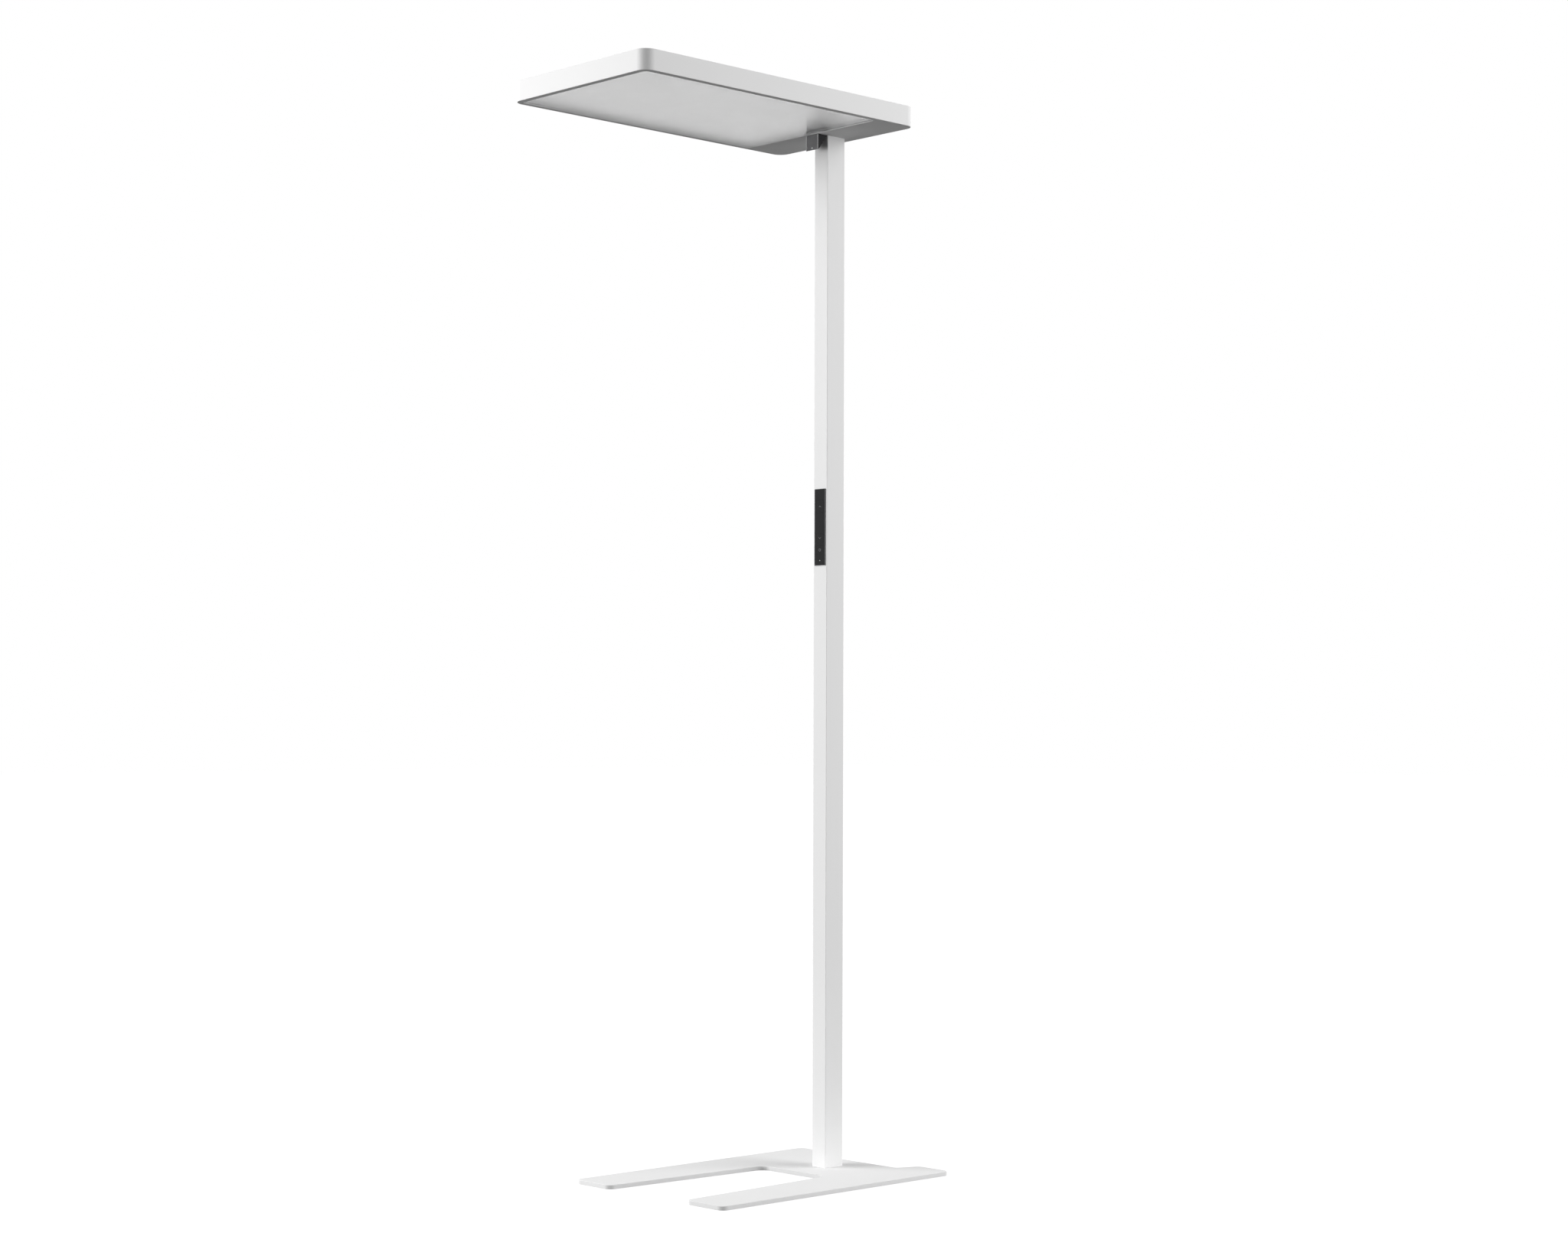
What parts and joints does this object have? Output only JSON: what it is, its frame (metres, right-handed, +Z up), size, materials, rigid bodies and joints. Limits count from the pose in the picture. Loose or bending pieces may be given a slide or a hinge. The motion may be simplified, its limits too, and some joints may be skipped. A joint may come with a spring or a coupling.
{
  "type": "office floor lamp",
  "caption": "Free-standing office lamp with a slotted flat base, rectangular mast, flat rectangular light head, presence sensor and key panel.",
  "frame": {"origin": "bottom centre of the bounding box, on the floor", "axes": "+Z up; the head and the base prongs reach toward -X from the mast; Y runs side to side"},
  "size_m": [0.7312, 0.3886, 1.95],
  "materials": {
    "white_paint": "satin white powder coat",
    "rubber": "matte",
    "aluminium": "plain",
    "steel": "zinc plated",
    "milky_plastic": "opal, satin",
    "opal_panel": "opal, evenly lit",
    "white_sheet": "matte white",
    "white_board": "white solder mask",
    "light_chip": "phosphor",
    "black_plastic": "fine matte",
    "white_plastic": "plain",
    "black_gloss": "polished",
    "circuit_board": "solder mask",
    "brass": "nickel plated",
    "cable": "grey sheath"
  },
  "bodies": {
    "lamp": {"base_plate": "white_paint", "base_glides": "rubber", "mast_foot_block": "aluminium", "mast_foot_bolts": "steel", "mast_profile": "white_paint", "mast_top_block": "aluminium", "mast_top_bolts": "steel", "head_bracket": "steel", "head_frame": "white_paint", "downlight_diffuser": "milky_plastic", "light_tray": "white_sheet", "light_panel": "opal_panel", "cover_standoffs": "aluminium", "top_cover": "white_paint", "cover_screws": "steel", "uplight_diffuser": "milky_plastic", "downlight_boards": "white_board", "downlight_chips": "light_chip", "uplight_boards": "white_board", "uplight_chips": "light_chip", "driver_pad": "rubber", "light_driver": "white_sheet", "dimmer_module": "black_plastic", "light_connectors": "white_plastic", "sensor_housing": "black_plastic", "sensor_window": "black_gloss", "sensor_screws": "steel", "sensor_board": "circuit_board", "presence_sensor": "white_plastic", "light_sensor": "black_gloss", "control_panel": "black_gloss", "control_tub": "black_plastic", "control_board": "circuit_board", "indicator_light": "milky_plastic", "switch_cans": "black_plastic", "mains_inlet": "black_plastic", "inlet_screws": "steel", "inlet_pins": "brass", "mains_lead": "cable", "control_lead": "cable"},
    "brighter_key": {"key_brighter": "black_gloss", "plunger_brighter": "white_plastic"},
    "dimmer_key": {"key_dimmer": "black_gloss", "plunger_dimmer": "white_plastic"},
    "power_key": {"key_power": "black_gloss", "plunger_power": "white_plastic"}
  },
  "joints": [
    {"name": "brighter_press", "type": "slide", "parent": "lamp", "child": "brighter_key", "axis": [1, 0, 0], "range_m": [0, 0.0008], "stiffness_N_per_m": 500, "springref_m": -0.001},
    {"name": "dimmer_press", "type": "slide", "parent": "lamp", "child": "dimmer_key", "axis": [1, 0, 0], "range_m": [0, 0.0008], "stiffness_N_per_m": 500, "springref_m": -0.001},
    {"name": "power_press", "type": "slide", "parent": "lamp", "child": "power_key", "axis": [1, 0, 0], "range_m": [0, 0.0008], "stiffness_N_per_m": 500, "springref_m": -0.001}
  ]
}
